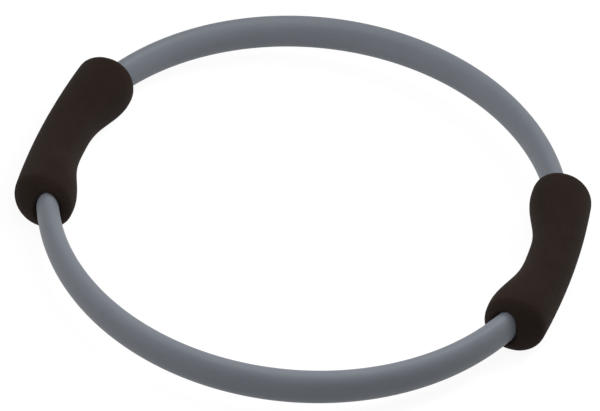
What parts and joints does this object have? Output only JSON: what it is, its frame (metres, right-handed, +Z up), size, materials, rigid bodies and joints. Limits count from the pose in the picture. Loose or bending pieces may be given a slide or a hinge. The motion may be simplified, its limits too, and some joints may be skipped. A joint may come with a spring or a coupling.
{
  "type": "pilates ring",
  "caption": "Flexible round exercise ring of oval plastic tube over flat fibreglass springs, squeezed between long padded grips with narrow waists.",
  "frame": {"origin": "On the plane that the grips rest on, under the centre of the ring lying flat.", "axes": "+X from the left grip to the right grip, +Y to the back of the ring, +Z up, square to the ring's own plane."},
  "size_m": [0.393, 0.3756, 0.0482],
  "materials": {
    "tube": "satin, with a fine moulded grain",
    "foam": "matte skin of closed-cell foam",
    "core": "moulded nylon",
    "spring": "glass-fibre laminate, satin",
    "rivet": "zinc plated"
  },
  "bodies": {
    "left_handle": {"left_grip": "foam", "left_outer_core": "core", "left_inner_core": "core", "left_core_outer_spring": "spring", "left_core_inner_spring": "spring", "left_rivet_1": "rivet", "left_rivet_2": "rivet", "left_rivet_3": "rivet", "left_rivet_4": "rivet"},
    "back_left_band": {"back_left_tube": "tube", "back_left_outer_spring": "spring", "back_left_inner_spring": "spring"},
    "back_right_band": {"back_right_tube": "tube", "back_right_outer_spring": "spring", "back_right_inner_spring": "spring"},
    "right_handle": {"right_grip": "foam", "right_outer_core": "core", "right_inner_core": "core", "right_core_outer_spring": "spring", "right_core_inner_spring": "spring", "right_rivet_1": "rivet", "right_rivet_2": "rivet", "right_rivet_3": "rivet", "right_rivet_4": "rivet"},
    "front_left_band": {"front_left_tube": "tube", "front_left_outer_spring": "spring", "front_left_inner_spring": "spring"},
    "front_right_band": {"front_right_tube": "tube", "front_right_outer_spring": "spring", "front_right_inner_spring": "spring"}
  },
  "joints": [
    {"name": "squeeze", "type": "hinge", "parent": "left_handle", "child": "back_left_band", "pos_m": [-0.16431, 0.0735, 0.02385], "axis": [0, 0, 1], "range_deg": [-6, 12], "stiffness_Nm_per_rad": 8},
    {"name": "back_flexure", "type": "hinge", "parent": "back_left_band", "child": "back_right_band", "pos_m": [0, 0.18, 0.02385], "axis": [0, 0, 1], "range_deg": [-24, 12], "stiffness_Nm_per_rad": 8},
    {"name": "right_back_flexure", "type": "hinge", "parent": "back_right_band", "child": "right_handle", "pos_m": [0.16431, 0.0735, 0.02385], "axis": [0, 0, 1], "range_deg": [-6, 12], "stiffness_Nm_per_rad": 8},
    {"name": "left_front_flexure", "type": "hinge", "parent": "left_handle", "child": "front_left_band", "pos_m": [-0.16431, -0.0735, 0.02385], "axis": [0, 0, 1], "range_deg": [-12, 6], "stiffness_Nm_per_rad": 8},
    {"name": "front_flexure", "type": "hinge", "parent": "front_left_band", "child": "front_right_band", "pos_m": [0, -0.18, 0.02385], "axis": [0, 0, 1], "range_deg": [-12, 24], "stiffness_Nm_per_rad": 8}
  ],
  "couplings": [
    {"joint": "back_flexure", "follows": "squeeze", "ratio": -2},
    {"joint": "right_back_flexure", "follows": "squeeze", "ratio": 1},
    {"joint": "left_front_flexure", "follows": "squeeze", "ratio": -1},
    {"joint": "front_flexure", "follows": "squeeze", "ratio": 2}
  ]
}
